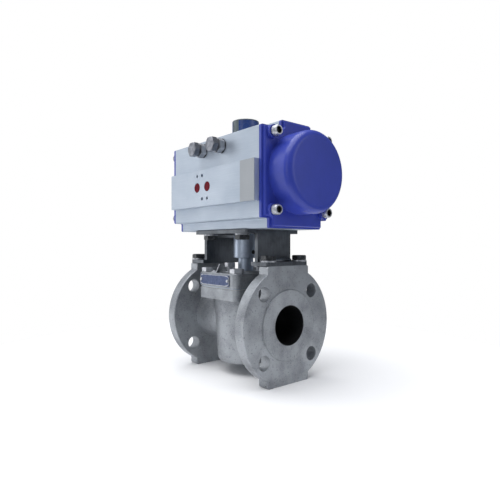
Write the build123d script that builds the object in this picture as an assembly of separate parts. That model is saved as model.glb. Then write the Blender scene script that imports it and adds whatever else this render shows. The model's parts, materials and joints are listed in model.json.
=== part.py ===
from build123d import *
import os
from math import acos, cos, pi, radians, sin, tan

# Pneumatic actuated quarter-turn plug valve. Millimetres, +Z up.
# X runs along the pipe, Z is up, -Y is the side with the air ports. The row's origin is the centre of
# the inlet flange's face. The pieces are drawn about the crossing of the pipe and stem axes, which is
# half a face-to-face length from there, and are moved to the row's origin when they are written.

# ---------------------------------------------------------------- valve sizes
FACE_TO_FACE = 178.0            # two-inch class 150 valve
FLANGE_D = 152.4
FLANGE_T = 16.8
RAISED_D = 92.1
RAISED_H = 1.6
BORE_D = 51.0
BOLT_CIRCLE_D = 120.65
BOLT_HOLE_D = 19.05
PAD_HALF_W = 36.5               # square corners that carry the bracket, and the feet
PAD_TOP = 77.0
FOOT_BOTTOM = -76.5
NECK_R = 37.0
BARREL_TOP_R = 45.0
BARREL_LOW_R = 39.5
BARREL_LOW = -60.0
COVER_HALF_X = 43.0             # rectangular top flange and top cap
COVER_HALF_Y = 52.5
COVER_CORNER_R = 8.0
TOP_FLANGE_LOW = 29.5
TOP_FLANGE_HIGH = 44.5
DIAPHRAGM_T = 1.0
CAP_LOW = TOP_FLANGE_HIGH + 2 * DIAPHRAGM_T
CAP_HIGH = 66.0
CAP_BOLT_X = 32.5
CAP_BOLT_Y = 42.0

PLUG_R = 31.5                   # plug radius at the pipe axis
PLUG_TAPER = tan(radians(3.5))
PLUG_LOW = -36.0
PLUG_HIGH = 38.0
SLEEVE_T = 3.0
PORT_W = 27.0
PORT_H = 46.0
PORT_CORNER_R = 8.0
STEM_R = 11.0
STEM_FLATS = 16.0
STEM_TOP = 100.0
COLLAR_R = 29.0
ADJUSTER_RING_R = 24.0
ADJUSTER_ANGLES = (-110.0, 10.0, 130.0)
ADJUSTER_TOP = 79.0

# -------------------------------------------------------------- bracket sizes
PLATE_T = 5.0
LEG_T = 6.0
LEG_OUT_X = 60.6
LEG_HALF_Y = 30.0
TOP_HALF_X = 60.5
TOP_HALF_Y = 47.4
BRACKET_HOLE_R = 30.0
MOUNT_BOLT = 102.0 / 2 * cos(radians(45))   # F10 circle, four bolts at 45 degrees
FOOT_BOLT_X = FACE_TO_FACE / 2 - RAISED_H - FLANGE_T / 2
FOOT_BOLT_Y = 28.0

# ------------------------------------------------------------- actuator sizes
BASE_Z = 124.5
STEP_Z = 136.6
TOP_Z = 248.6
HUMP_Z = 259.0
HALF_L = 96.0
HALF_W = 59.0
BASE_HALF_W = 46.2
HUMP_HALF_W = 25.9
BORE_AXIS_Z = 193.0
PISTON_BORE_R = 49.0
PORT_PAD_Y = 66.2
PORT_PAD_Z = (157.0, 207.7)
PORT_CENTRE = (-14.5, 183.5)    # X and Z of the air-port pattern
PORT_HALF_SPACING = 12.0
PORT_PIN_SPACING = 16.0
PORT_R = 5.7                    # quarter-inch port at its thread's minor radius
PORT_MOUTH_R = 6.7
PORT_MOUTH_DEPTH = 1.2
RAW_PAD_X = 69.0                # the port pad is machined up to here
RAW_PAD_STEP = 0.6
CAP_RIM_T = 4.0
CAP_FACE_X = 104.3
CAP_INSET = 2.2
CAP_SCREW_Y = 45.5
CAP_SCREW_DZ = 47.0
CAP_BOSS_H = 4.5
DOME_R = 51.0
DOME_WALL = 5.0
DOME_EDGE_R = 9.0
RIGHT_DOME_X = 138.0
LEFT_DOME_X = 126.0
SPIGOT_L = 5.0

STOP_X = 21.0
STOP_Z = 235.0
STOP_R = 6.0
STOP_HEX = 18.0
STOP_DOG_R = 4.4
STOP_SEAL_R = 9.5
STOP_TIP_Y = -10.05
STOP_HEAD_Y = (-79.0, -71.0)

GEAR_TEETH = 18
GEAR_MODULE = 2.0
PRESSURE = radians(20.0)
GEAR_BACKLASH = 0.2
GEAR_Z = (168.0, 217.0)
PITCH_R = GEAR_TEETH * GEAR_MODULE / 2
TIP_R = PITCH_R + GEAR_MODULE
ROOT_R = PITCH_R - 1.25 * GEAR_MODULE

PISTON_IN_X = 45.0              # inner face of a piston head at rest
PISTON_HEAD_T = 15.0
SPRING_POCKET = 7.0
SPRING_OFFSET = 19.0
SPRING_R = 11.0
SPRING_WIRE_R = 1.7
SPRING_TURNS = 6

CAM_R = 28.0
CAM_FACE = 10.0
CAM_Z = (228.0, 240.0)
JOURNAL_R = 11.0
LOW_JOURNAL_R = 19.0
DRIVE_SQUARE = 22.0

RUN = 0.05                      # radial clearance of a running fit
TOUCH = 0.02                    # gap left between pieces that are fixed together

M5_R, M6_R, M8_R, M10_R = 2.5, 3.0, 4.0, 5.0


# ------------------------------------------------------------------- helpers
def block(x, y, z):
    """A box between pairs of limits."""
    size = Box(x[1] - x[0], y[1] - y[0], z[1] - z[0])
    return Pos((x[0] + x[1]) / 2, (y[0] + y[1]) / 2, (z[0] + z[1]) / 2) * size


def rod_x(radius, x, y=0.0, z=0.0):
    return Pos((x[0] + x[1]) / 2, y, z) * Rot(0, 90, 0) * Cylinder(radius, x[1] - x[0])


def rod_y(radius, y, x=0.0, z=0.0):
    return Pos(x, (y[0] + y[1]) / 2, z) * Rot(90, 0, 0) * Cylinder(radius, y[1] - y[0])


def rod_z(radius, z, x=0.0, y=0.0):
    return Pos(x, y, (z[0] + z[1]) / 2) * Cylinder(radius, z[1] - z[0])


def ring_z(inner, outer, z, x=0.0, y=0.0):
    return rod_z(outer, z, x, y) - rod_z(inner, (z[0] - 1, z[1] + 1), x, y)


def hex_bar(across_flats, length):
    """A hexagonal bar standing on the origin along +Z, with slightly turned corners."""
    bar = extrude(RegularPolygon(across_flats / 2, 6, major_radius=False), length)
    turned = Cylinder(across_flats / 2 * 1.11, length, align=(Align.CENTER, Align.CENTER, Align.MIN))
    return bar & turned


def plate_z(half_x, half_y, corner, z):
    return extrude(Pos(0, 0, z[0]) * RectangleRounded(2 * half_x, 2 * half_y, corner), z[1] - z[0])


def cone_z(radius_at_zero, z):
    """A cone with the taper of the plug."""
    low = radius_at_zero + PLUG_TAPER * z[0]
    high = radius_at_zero + PLUG_TAPER * z[1]
    return Pos(0, 0, (z[0] + z[1]) / 2) * Cone(low, high, z[1] - z[0])


def solids_of(shapes):
    """Several separate solids kept in one node."""
    return Compound(children=[solid for shape in shapes for solid in shape.solids()])


def corners(half_x, half_y):
    return [(sx * half_x, sy * half_y) for sx in (-1, 1) for sy in (-1, 1)]


# --------------------------------------------------------------------- valve
def flange(side):
    """One end flange with its bracket pad above and its foot below."""
    inner = FACE_TO_FACE / 2 - RAISED_H - FLANGE_T
    outer = FACE_TO_FACE / 2 - RAISED_H
    disc = fillet(rod_x(FLANGE_D / 2, (inner, outer)).edges().filter_by(GeomType.CIRCLE), 1.2)
    feet = block((inner, outer), (-PAD_HALF_W, PAD_HALF_W), (FOOT_BOTTOM, PAD_TOP))
    feet = fillet(feet.edges().filter_by(Axis.X), 2.5)
    raised = rod_x(RAISED_D / 2, (outer - 1, FACE_TO_FACE / 2))
    shape = disc + feet + raised
    offset = BOLT_CIRCLE_D / 2 * cos(radians(45))
    for y, z in corners(offset, offset):
        shape -= rod_x(BOLT_HOLE_D / 2, (inner - 1, outer + 1), y, z)
    for sy in (-1, 1):
        shape -= rod_z(M10_R + TOUCH, (PAD_TOP - 19, PAD_TOP + 1), (inner + outer) / 2, sy * FOOT_BOLT_Y)
    return shape if side > 0 else mirror(shape, about=Plane.YZ)


def flow_passage(side):
    """The bore from a flange face, drawn down to the plug's tall narrow port."""
    throat_x, seat_x = 56.0, 27.0
    shape = rod_x(BORE_D / 2, (throat_x, FACE_TO_FACE / 2 + 1))
    window = Plane.YZ.offset(seat_x) * RectangleRounded(PORT_W, PORT_H, PORT_CORNER_R)
    throat = Plane.YZ.offset(throat_x) * Circle(BORE_D / 2)
    shape += loft([window, throat])
    return shape if side > 0 else mirror(shape, about=Plane.YZ)


def valve_body():
    """Cast body: two flanges, the neck, the tapered barrel and the rectangular top flange."""
    inner = FACE_TO_FACE / 2 - RAISED_H - FLANGE_T
    neck = rod_x(NECK_R, (-inner - 1, inner + 1))
    height = TOP_FLANGE_LOW - BARREL_LOW
    barrel = Pos(0, 0, BARREL_LOW + height / 2) * Cone(BARREL_LOW_R, BARREL_TOP_R, height)
    barrel = fillet(barrel.edges().sort_by(Axis.Z)[0], 7)
    top = plate_z(COVER_HALF_X, COVER_HALF_Y, COVER_CORNER_R, (TOP_FLANGE_LOW, TOP_FLANGE_HIGH))
    rib = block((-inner, inner), (-7, 7), (0, 40))
    body = neck + barrel + top + rib + flange(1) + flange(-1)
    body -= cone_z(PLUG_R + RUN + SLEEVE_T + TOUCH, (PLUG_LOW - 4, PLUG_HIGH))
    body -= rod_z(COLLAR_R + 8, (PLUG_HIGH, TOP_FLANGE_HIGH + 1))
    for side in (-1, 1):
        body -= flow_passage(side)
    for x, y in corners(CAP_BOLT_X, CAP_BOLT_Y):
        body -= rod_z(M10_R + TOUCH, (TOP_FLANGE_LOW - 1, TOP_FLANGE_HIGH + 1), x, y)
    return body


def port_window(width, reach, axis):
    """A rounded rectangular prism through the plug or the sleeve."""
    plane = Plane.YZ if axis == "x" else Plane.XZ
    sketch = plane.offset(-reach) * RectangleRounded(width, PORT_H, PORT_CORNER_R)
    return extrude(sketch, 2 * reach)


def plug_sleeve():
    """PTFE sleeve locked in the body around the plug."""
    z = (PLUG_LOW - 1, PLUG_HIGH - 1)
    sleeve = cone_z(PLUG_R + RUN + SLEEVE_T, z) - cone_z(PLUG_R + RUN, (z[0] - 1, z[1] + 1))
    return sleeve - port_window(PORT_W, 60, "x")


def plug_stem():
    """Tapered plug with its through port, closed at rest, and the stem in one piece."""
    plug = cone_z(PLUG_R, (PLUG_LOW, PLUG_HIGH))
    plug = chamfer(plug.edges().filter_by(GeomType.CIRCLE).sort_by(Axis.Z)[0], 1)
    plug -= port_window(PORT_W, 60, "y")
    stem = rod_z(STEM_R, (PLUG_HIGH - 1, STEM_TOP))
    stem = chamfer(stem.edges().sort_by(Axis.Z)[-1], 1)
    for side in (-1, 1):
        cut = sorted((side * STEM_FLATS / 2, side * 2 * STEM_R))
        stem -= block(cut, (-20, 20), (86, STEM_TOP + 1))
    return plug + stem


def wedge_ring():
    """PTFE wedge ring that presses the diaphragm lip against the stem."""
    ring = ring_z(STEM_R + RUN, COLLAR_R, (PLUG_HIGH + 0.3, TOP_FLANGE_HIGH - TOUCH))
    return chamfer(ring.edges().filter_by(GeomType.CIRCLE).sort_by(Axis.Z)[-1], 2)


def diaphragm(level):
    z = (TOP_FLANGE_HIGH + level * DIAPHRAGM_T, TOP_FLANGE_HIGH + (level + 1) * DIAPHRAGM_T)
    sheet = plate_z(COVER_HALF_X - 1.5, COVER_HALF_Y - 1.5, COVER_CORNER_R - 1.5, z)
    sheet -= rod_z(STEM_R + RUN, (z[0] - 1, z[1] + 1))
    for x, y in corners(CAP_BOLT_X, CAP_BOLT_Y):
        sheet -= rod_z(M10_R + 0.4, (z[0] - 1, z[1] + 1), x, y)
    return sheet


def thrust_collar():
    """Steel collar that carries the adjusters' load down to the plug."""
    return ring_z(STEM_R + RUN, COLLAR_R, (CAP_LOW + TOUCH, CAP_LOW + 7))


def adjuster_spots():
    return [(ADJUSTER_RING_R * cos(radians(a)), ADJUSTER_RING_R * sin(radians(a))) for a in ADJUSTER_ANGLES]


def top_cap():
    """Cast cap that clamps the diaphragms and holds the adjusters."""
    cap = plate_z(COVER_HALF_X, COVER_HALF_Y, COVER_CORNER_R, (CAP_LOW, CAP_HIGH))
    cap = fillet(cap.edges().filter_by(Plane.XY).group_by(Axis.Z)[-1], 1.5)
    cap += rod_z(33, (CAP_HIGH - 1, CAP_HIGH + 1.5))
    cap -= rod_z(COLLAR_R + 0.5, (CAP_LOW - 1, CAP_LOW + 9))
    cap -= rod_z(STEM_R + 1.5, (CAP_LOW, CAP_HIGH + 2))
    for x, y in adjuster_spots():
        cap -= rod_z(M8_R + TOUCH, (CAP_LOW, CAP_HIGH + 2), x, y)
    for x, y in corners(CAP_BOLT_X, CAP_BOLT_Y):
        cap -= rod_z(M10_R + 0.4, (CAP_LOW - 1, CAP_HIGH + 1), x, y)
    return cap


def hex_bolt(shank_r, across_flats, head_h, length):
    """A hex bolt hanging down from the origin, its head above."""
    head = hex_bar(across_flats, head_h)
    shank = Pos(0, 0, -length) * Cylinder(shank_r, length + 1, align=(Align.CENTER, Align.CENTER, Align.MIN))
    shank = chamfer(shank.edges().sort_by(Axis.Z)[0], 0.8)
    return head + shank


def top_cap_bolts():
    bolt = hex_bolt(M10_R, 17, 6.4, CAP_HIGH - TOP_FLANGE_LOW - 1)
    return solids_of([Pos(x, y, CAP_HIGH) * bolt for x, y in corners(CAP_BOLT_X, CAP_BOLT_Y)])


def adjuster_screws():
    head_h = 6.0
    bolt = hex_bolt(M8_R, 13, head_h, ADJUSTER_TOP - head_h - CAP_LOW - 7 - TOUCH)
    return solids_of([Pos(x, y, ADJUSTER_TOP - head_h) * bolt for x, y in adjuster_spots()])


TAG_X = (-37.0, 29.5)
TAG_Z = (48.6, 63.4)
RIVET_X = (TAG_X[0] + 3.0, TAG_X[1] - 3.0)


def name_tag():
    """Blank plate on the cap's front face."""
    face_y = -COVER_HALF_Y - TOUCH
    tag = block(TAG_X, (face_y - 1.0, face_y), TAG_Z)
    tag = fillet(tag.edges().filter_by(Axis.Y), 1.5)
    for x in RIVET_X:
        tag -= rod_y(1.3, (face_y - 2, face_y + 1), x, sum(TAG_Z) / 2)
    return tag


def tag_rivets():
    face_y = -COVER_HALF_Y - TOUCH
    z = sum(TAG_Z) / 2
    rivets = []
    for x in RIVET_X:
        head = Pos(x, face_y - 1.0, z) * (Sphere(2.2) & Box(6, 2.6, 6))
        head -= block((x - 5, x + 5), (face_y - 1.0, face_y + 4), (z - 5, z + 5))
        rivets.append(head + rod_y(1.25, (face_y - 1.5, face_y), x, z))
    return solids_of(rivets)


TAB_Y = (-50.0, -44.0)
TAB_T = 0.9


def earthing_tab():
    """Bent strip screwed to the cap's front edge, for a bonding wire."""
    outline = Polyline(
        (-15.0, CAP_HIGH + TOUCH), (-3.5, CAP_HIGH + TOUCH), (4.5, 78.0), (4.5 - TAB_T, 78.4),
        (-4.0, CAP_HIGH + TAB_T), (-15.0, CAP_HIGH + TAB_T), close=True)
    tab = extrude(Plane.XZ.offset(-TAB_Y[1]) * make_face(outline), TAB_Y[1] - TAB_Y[0])
    tab -= rod_z(1.7, (CAP_HIGH - 1, CAP_HIGH + 3), -11.5, sum(TAB_Y) / 2)
    return tab


def earthing_screw():
    y = sum(TAB_Y) / 2
    head = rod_z(2.6, (CAP_HIGH + TAB_T, CAP_HIGH + TAB_T + 2), -11.5, y)
    head = fillet(head.edges().sort_by(Axis.Z)[-1], 0.8)
    slot = block((-14.5, -8.5), (y - 0.4, y + 0.4), (CAP_HIGH + TAB_T + 1.2, CAP_HIGH + 5))
    return head - slot + rod_z(1.6, (CAP_HIGH + TOUCH, CAP_HIGH + TAB_T + 0.5), -11.5, y)


# ------------------------------------------------------------------- bracket
def weld(x, y, z, leg, along, turn):
    """A triangular weld bead along Y, centred on a corner of two plates."""
    bead = extrude(make_face(Polyline((0, 0), (leg, 0), (0, leg), close=True)), along)
    bead = Pos(0, 0, -along / 2) * bead
    return Pos(x, y, z) * Rot(90, 0, 0) * Rot(0, 0, turn) * bead


def bracket():
    """Welded stool: a top plate, two legs and two feet on the flange pads."""
    shape = plate_z(TOP_HALF_X, TOP_HALF_Y, 5, (BASE_Z - PLATE_T, BASE_Z))
    foot_end = FACE_TO_FACE / 2 - RAISED_H
    for side in (-1, 1):
        leg_x = sorted((side * (LEG_OUT_X - LEG_T), side * LEG_OUT_X))
        foot_x = sorted((side * (LEG_OUT_X - LEG_T), side * foot_end))
        foot = block(foot_x, (-PAD_HALF_W, PAD_HALF_W), (PAD_TOP, PAD_TOP + PLATE_T))
        foot = fillet(foot.edges().filter_by(Axis.Z).group_by(Axis.X)[-1 if side > 0 else 0], 4)
        shape += block(leg_x, (-LEG_HALF_Y, LEG_HALF_Y), (PAD_TOP + 1, BASE_Z - 1)) + foot
        inner_x = side * (LEG_OUT_X - LEG_T)
        shape += weld(inner_x, 0, BASE_Z - PLATE_T, 4, 2 * LEG_HALF_Y - 4, 180 if side > 0 else 270)
        shape += weld(side * LEG_OUT_X, 0, PAD_TOP + PLATE_T, 4, 2 * LEG_HALF_Y - 4, 0 if side > 0 else 90)
        for sy in (-1, 1):
            hole_z = (PAD_TOP - 1, PAD_TOP + PLATE_T + 1)
            shape -= rod_z(M10_R + 0.5, hole_z, side * FOOT_BOLT_X, sy * FOOT_BOLT_Y)
    shape -= rod_z(BRACKET_HOLE_R, (BASE_Z - PLATE_T - 1, BASE_Z + 1))
    for x, y in corners(MOUNT_BOLT, MOUNT_BOLT):
        shape -= rod_z(M10_R + 0.5, (BASE_Z - PLATE_T - 1, BASE_Z + 1), x, y)
    return shape


def foot_washers():
    z = (PAD_TOP + PLATE_T + TOUCH, PAD_TOP + PLATE_T + 2)
    return solids_of([ring_z(M10_R + 0.3, 10, z, x, y) for x, y in corners(FOOT_BOLT_X, FOOT_BOLT_Y)])


def foot_bolts():
    seat = PAD_TOP + PLATE_T + 2 + TOUCH
    bolt = hex_bolt(M10_R, 17, 6.4, seat - PAD_TOP + 17)
    return solids_of([Pos(x, y, seat) * bolt for x, y in corners(FOOT_BOLT_X, FOOT_BOLT_Y)])


def mount_washers():
    z = (BASE_Z - PLATE_T - 2, BASE_Z - PLATE_T - TOUCH)
    return solids_of([ring_z(M10_R + 0.3, 10, z, x, y) for x, y in corners(MOUNT_BOLT, MOUNT_BOLT)])


def mount_bolts():
    """Bolts pushed up through the bracket into the actuator's base."""
    seat = BASE_Z - PLATE_T - 2 - TOUCH
    bolt = hex_bolt(M10_R, 17, 6.4, BASE_Z + 13 - seat)
    return solids_of([Pos(x, y, seat) * Rot(180, 0, 0) * bolt for x, y in corners(MOUNT_BOLT, MOUNT_BOLT)])


def coupling():
    """Drive coupling: takes the stem's flats below, has a male square above."""
    top, bottom = BASE_Z - 0.5, 85.5
    body = rod_z(17.2, (bottom, top))
    body = chamfer(body.edges().filter_by(GeomType.CIRCLE), 0.8)
    square = extrude(Pos(0, 0, top - 1) * Rectangle(DRIVE_SQUARE, DRIVE_SQUARE), 22)
    body += square & rod_z(14.3, (top - 1, top + 21))
    socket = rod_z(STEM_R + TOUCH, (bottom - 1, STEM_TOP + 0.5))
    flats = block((-STEM_FLATS / 2 - TOUCH, STEM_FLATS / 2 + TOUCH), (-20, 20), (86.5, STEM_TOP + 0.5))
    body -= socket & (flats + rod_z(20, (bottom - 2, 86.5)))
    return body - rod_x(M6_R + TOUCH, (0, 20), 0, 94)


def coupling_setscrew():
    screw = rod_x(M6_R, (STEM_FLATS / 2 + 2 * TOUCH, 17.0), 0, 94)
    return screw - Pos(14.5, 0, 94) * Rot(0, 90, 0) * extrude(RegularPolygon(1.5, 6, major_radius=False), 4)


# ------------------------------------------------------------ actuator shell
def housing_outline():
    """Cross-section of the extruded housing, on the YZ plane."""
    half = [(BASE_HALF_W, BASE_Z), (BASE_HALF_W, STEP_Z), (HALF_W, STEP_Z), (HALF_W, TOP_Z),
            (HUMP_HALF_W, TOP_Z), (HUMP_HALF_W, HUMP_Z)]
    mirrored = [(-y, z) for y, z in reversed(half)]
    face = make_face(Polyline(*half, *mirrored, close=True))
    return fillet(face.vertices(), 2.0)


def pattern_point(dx, dz):
    return PORT_CENTRE[0] + dx, PORT_CENTRE[1] + dz


def actuator_body():
    """Extruded housing with the piston bore, the port pad and all its holes."""
    body = extrude(Plane.YZ.offset(-HALF_L) * housing_outline(), 2 * HALF_L)
    body += block((-HALF_L, HALF_L), (-PORT_PAD_Y, -HALF_W + 1), PORT_PAD_Z)
    body += block((RAW_PAD_X, HALF_L), (-PORT_PAD_Y - RAW_PAD_STEP, -HALF_W), PORT_PAD_Z)
    body -= rod_x(PISTON_BORE_R, (-HALF_L - 1, HALF_L + 1), 0, BORE_AXIS_Z)
    body -= rod_z(CAM_R + 2, (CAM_Z[0] - 3, CAM_Z[1] + 2))
    body -= rod_z(22 + TOUCH, (BASE_Z - 1, BORE_AXIS_Z))
    body -= rod_z(14.5 + TOUCH, (BORE_AXIS_Z, HUMP_Z + 1))
    for x in (-STOP_X, STOP_X):
        body -= rod_y(STOP_R + TOUCH, (-HALF_W - 1, -15), x, STOP_Z)
    for x, y in corners(MOUNT_BOLT, MOUNT_BOLT):
        body -= rod_z(M10_R + TOUCH, (BASE_Z - 1, BASE_Z + 15), x, y)
    for side in (-1, 1):
        for y, dz in corners(CAP_SCREW_Y, CAP_SCREW_DZ):
            x = sorted((side * (HALF_L - 22), side * (HALF_L + 1)))
            body -= rod_x(M8_R + TOUCH, x, y, BORE_AXIS_Z + dz)
    for x, y in corners(40, 15):
        body -= rod_z(M5_R - 0.4, (HUMP_Z - 8, HUMP_Z + 1), x, y)
    return body - air_ports()


def air_ports():
    """Two quarter-inch ports, their drillings, and the screw and pin holes of the port pattern."""
    left_x, port_z = pattern_point(-PORT_HALF_SPACING, 0)
    right_x = pattern_point(PORT_HALF_SPACING, 0)[0]
    front = -PORT_PAD_Y - 1
    cut = rod_y(PORT_R, (front, -PORT_PAD_Y + 6), left_x, port_z)
    cut += rod_y(2.5, (front, -PISTON_BORE_R + 4), left_x, port_z + 2)
    cut += rod_y(PORT_R, (front, -PORT_PAD_Y + 12), right_x, port_z)
    for x in (left_x, right_x):
        cut += rod_y(PORT_MOUTH_R, (front, -PORT_PAD_Y + PORT_MOUTH_DEPTH), x, port_z)
    cut += rod_x(2.0, (-HALF_L - 1, HALF_L + 1), -56.5, port_z - 5.5)
    for dx, dz in ((-PORT_HALF_SPACING, PORT_PIN_SPACING), (PORT_HALF_SPACING, -PORT_PIN_SPACING)):
        x, z = pattern_point(dx, dz)
        cut += rod_y(M5_R - 0.4, (front, -PORT_PAD_Y + 8), x, z)
    for dz in (-PORT_PIN_SPACING, PORT_PIN_SPACING):
        x, z = pattern_point(0, dz)
        cut += rod_y(M5_R - 0.1, (front, -PORT_PAD_Y + 4), x, z)
    return cut


def port_plugs():
    """Transit plugs pushed into the two air ports, flush with the pad."""
    plugs = []
    for dx in (-PORT_HALF_SPACING, PORT_HALF_SPACING):
        x, z = pattern_point(dx, 0)
        plug = rod_y(PORT_MOUTH_R - 0.1, (-PORT_PAD_Y, -PORT_PAD_Y + PORT_MOUTH_DEPTH - TOUCH), x, z)
        plug = chamfer(plug.edges().filter_by(GeomType.CIRCLE).sort_by(Axis.Y)[0], 0.4)
        plugs.append(plug + rod_y(PORT_R - 0.1, (-PORT_PAD_Y + 0.5, -PORT_PAD_Y + 5), x, z))
    return solids_of(plugs)


def end_cap(dome_x):
    """Cap of the +X end: a rim, a stepped face and the dome over the springs."""
    outline = housing_outline()
    rim = extrude(Plane.YZ.offset(HALF_L + TOUCH) * outline, CAP_RIM_T)
    inner_outline = offset(outline, amount=-CAP_INSET)
    face = extrude(Plane.YZ.offset(HALF_L + 1) * inner_outline, CAP_FACE_X - HALF_L - 1)
    face = fillet(face.edges().group_by(Axis.X)[-1], 1.8)
    dome = rod_x(DOME_R, (HALF_L + 1, dome_x), 0, BORE_AXIS_Z)
    dome = fillet(dome.edges().filter_by(GeomType.CIRCLE).sort_by(Axis.X)[-1], DOME_EDGE_R)
    spigot = rod_x(PISTON_BORE_R - TOUCH, (HALF_L - SPIGOT_L, HALF_L + 1), 0, BORE_AXIS_Z)
    cap = rim + face + dome + spigot
    groove = rod_x(PISTON_BORE_R + 1, (HALF_L - 3.6, HALF_L - 1.0), 0, BORE_AXIS_Z)
    groove -= rod_x(PISTON_BORE_R - 2.0, (HALF_L - 4, HALF_L), 0, BORE_AXIS_Z)
    cap -= groove
    hollow = rod_x(DOME_R - DOME_WALL - 0.5, (HALF_L - SPIGOT_L - 1, dome_x - DOME_WALL), 0, BORE_AXIS_Z)
    hollow = fillet(hollow.edges().filter_by(GeomType.CIRCLE).sort_by(Axis.X)[-1], DOME_EDGE_R - DOME_WALL)
    cap -= hollow
    for y, dz in corners(CAP_SCREW_Y, CAP_SCREW_DZ):
        z = BORE_AXIS_Z + dz
        cap += rod_x(8.2, (CAP_FACE_X - 1, CAP_FACE_X + CAP_BOSS_H), y, z)
        cap -= rod_x(M8_R + 0.3, (HALF_L - 1, CAP_FACE_X + CAP_BOSS_H + 1), y, z)
    slot = block((HALF_L - 1, HALF_L + 2.5), (-58, -42), (PORT_CENTRE[1] - 8, PORT_CENTRE[1] - 3))
    return cap - slot


def cap_seal():
    """O-ring in the spigot's groove."""
    return Pos(HALF_L - 2.3, 0, BORE_AXIS_Z) * Rot(0, 90, 0) * Torus(PISTON_BORE_R - 1.0, 0.95)


def cap_screws():
    """Four socket-head screws of the +X cap."""
    seat = CAP_FACE_X + CAP_BOSS_H + TOUCH
    screws = []
    for y, dz in corners(CAP_SCREW_Y, CAP_SCREW_DZ):
        z = BORE_AXIS_Z + dz
        head = rod_x(6.5, (seat, seat + 8), y, z)
        head = chamfer(head.edges().filter_by(GeomType.CIRCLE).sort_by(Axis.X)[-1], 0.7)
        socket = extrude(RegularPolygon(3.0, 6, major_radius=False), 6)
        head -= Pos(seat + 4, y, z) * Rot(0, 90, 0) * socket
        screws.append(head + rod_x(M8_R, (HALF_L - 20, seat + 1), y, z))
    return solids_of(screws)


def stop_bolts():
    """The two travel-stop bolts that meet the cam."""
    bolts = []
    for x in (-STOP_X, STOP_X):
        head = Pos(x, STOP_HEAD_Y[1], STOP_Z) * Rot(90, 0, 0)
        head = head * hex_bar(STOP_HEX, STOP_HEAD_Y[1] - STOP_HEAD_Y[0])
        shank = rod_y(STOP_R, (STOP_HEAD_Y[1] - 1, -22), x, STOP_Z)
        bolts.append(head + shank + rod_y(STOP_DOG_R, (-23, STOP_TIP_Y), x, STOP_Z))
    return solids_of(bolts)


def stop_jam_nuts():
    nuts = []
    for x in (-STOP_X, STOP_X):
        place = Pos(x, -HALF_W - 1.5, STOP_Z) * Rot(90, 0, 0) * Rot(0, 0, 30)
        nut = place * hex_bar(STOP_HEX, 8.0)
        nuts.append(nut - rod_y(STOP_R + TOUCH, (-80, -50), x, STOP_Z))
    return solids_of(nuts)


def stop_seals():
    """Sealing washers under the jam nuts."""
    washers = []
    for x in (-STOP_X, STOP_X):
        washer = rod_y(STOP_SEAL_R, (-HALF_W - 1.5 + TOUCH, -HALF_W - TOUCH), x, STOP_Z)
        washers.append(washer - rod_y(STOP_R + TOUCH, (-80, -50), x, STOP_Z))
    return solids_of(washers)


def lower_bearing():
    return ring_z(LOW_JOURNAL_R + RUN, 22, (BASE_Z + 9, BASE_Z + 19))


def upper_bearing():
    return ring_z(JOURNAL_R + RUN, 14.5, (247, HUMP_Z - 1))


def thrust_washer():
    return ring_z(JOURNAL_R + RUN, 18, (HUMP_Z + TOUCH, HUMP_Z + 1.5))


# ----------------------------------------------------------- rotating pieces
def involute(radius):
    """Angle between an involute's start on the base circle and its point at a radius."""
    base = PITCH_R * cos(PRESSURE)
    angle = acos(min(1.0, base / radius))
    return tan(angle) - angle


def gear_face():
    """Full outline of the pinion teeth, one tooth centred on +Y."""
    base = PITCH_R * cos(PRESSURE)
    half_at_pitch = pi / (2 * GEAR_TEETH) - GEAR_BACKLASH / (4 * PITCH_R)
    steps = 4
    radii = [base + (TIP_R - base) * i / steps for i in range(steps + 1)]
    halves = [half_at_pitch + involute(PITCH_R) - involute(r) for r in radii]

    def point(radius, angle):
        return (radius * cos(angle), radius * sin(angle))

    edges = []
    pitch_angle = 2 * pi / GEAR_TEETH
    for tooth in range(GEAR_TEETH):
        middle = pi / 2 + tooth * pitch_angle
        rising = [point(r, middle - h) for r, h in zip(radii, halves)]
        falling = [point(r, middle + h) for r, h in zip(reversed(radii), reversed(halves))]
        foot_in, foot_out = point(ROOT_R, middle - halves[0]), point(ROOT_R, middle + halves[0])
        next_foot = point(ROOT_R, middle + pitch_angle - halves[0])
        edges += [Line(foot_in, rising[0]), Spline(*rising)]
        edges.append(ThreePointArc(rising[-1], point(TIP_R, middle), falling[0]))
        edges += [Spline(*falling), Line(falling[-1], foot_out)]
        edges.append(ThreePointArc(foot_out, point(ROOT_R, middle + pitch_angle / 2), next_foot))
    return make_face(edges)


def pinion():
    """Pinion shaft: square socket, low journal, teeth, cam seat, top journal and drive end."""
    bottom = BASE_Z + 1
    shaft = rod_z(LOW_JOURNAL_R, (bottom, 158)) + rod_z(16, (157, GEAR_Z[0] + 1))
    shaft += extrude(Pos(0, 0, GEAR_Z[0]) * gear_face(), GEAR_Z[1] - GEAR_Z[0])
    shaft += rod_z(15.4, (GEAR_Z[1] - 1, CAM_Z[0]))
    shaft += rod_z(14, (CAM_Z[0] - 1, CAM_Z[1])) & block((-JOURNAL_R, JOURNAL_R), (-20, 20), (0, 300))
    shaft += rod_z(JOURNAL_R, (CAM_Z[1] - 1, HUMP_Z + 4)) + rod_z(9, (HUMP_Z + 3, 275))
    socket = extrude(Pos(0, 0, bottom - 1) * Rectangle(DRIVE_SQUARE + 2 * TOUCH, DRIVE_SQUARE + 2 * TOUCH), 23)
    shaft -= socket & rod_z(14.3 + TOUCH, (bottom - 2, bottom + 23))
    for z, radius in ((BASE_Z + 5, LOW_JOURNAL_R), (244, JOURNAL_R)):
        shaft -= ring_z(radius - 1.9, radius + 1, (z - 1.3, z + 1.3))
    shaft -= ring_z(JOURNAL_R - 1.2, JOURNAL_R + 1, (HUMP_Z + 1.6, HUMP_Z + 2.9))
    return shaft - rod_z(M5_R + TOUCH, (262, 276))


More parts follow.
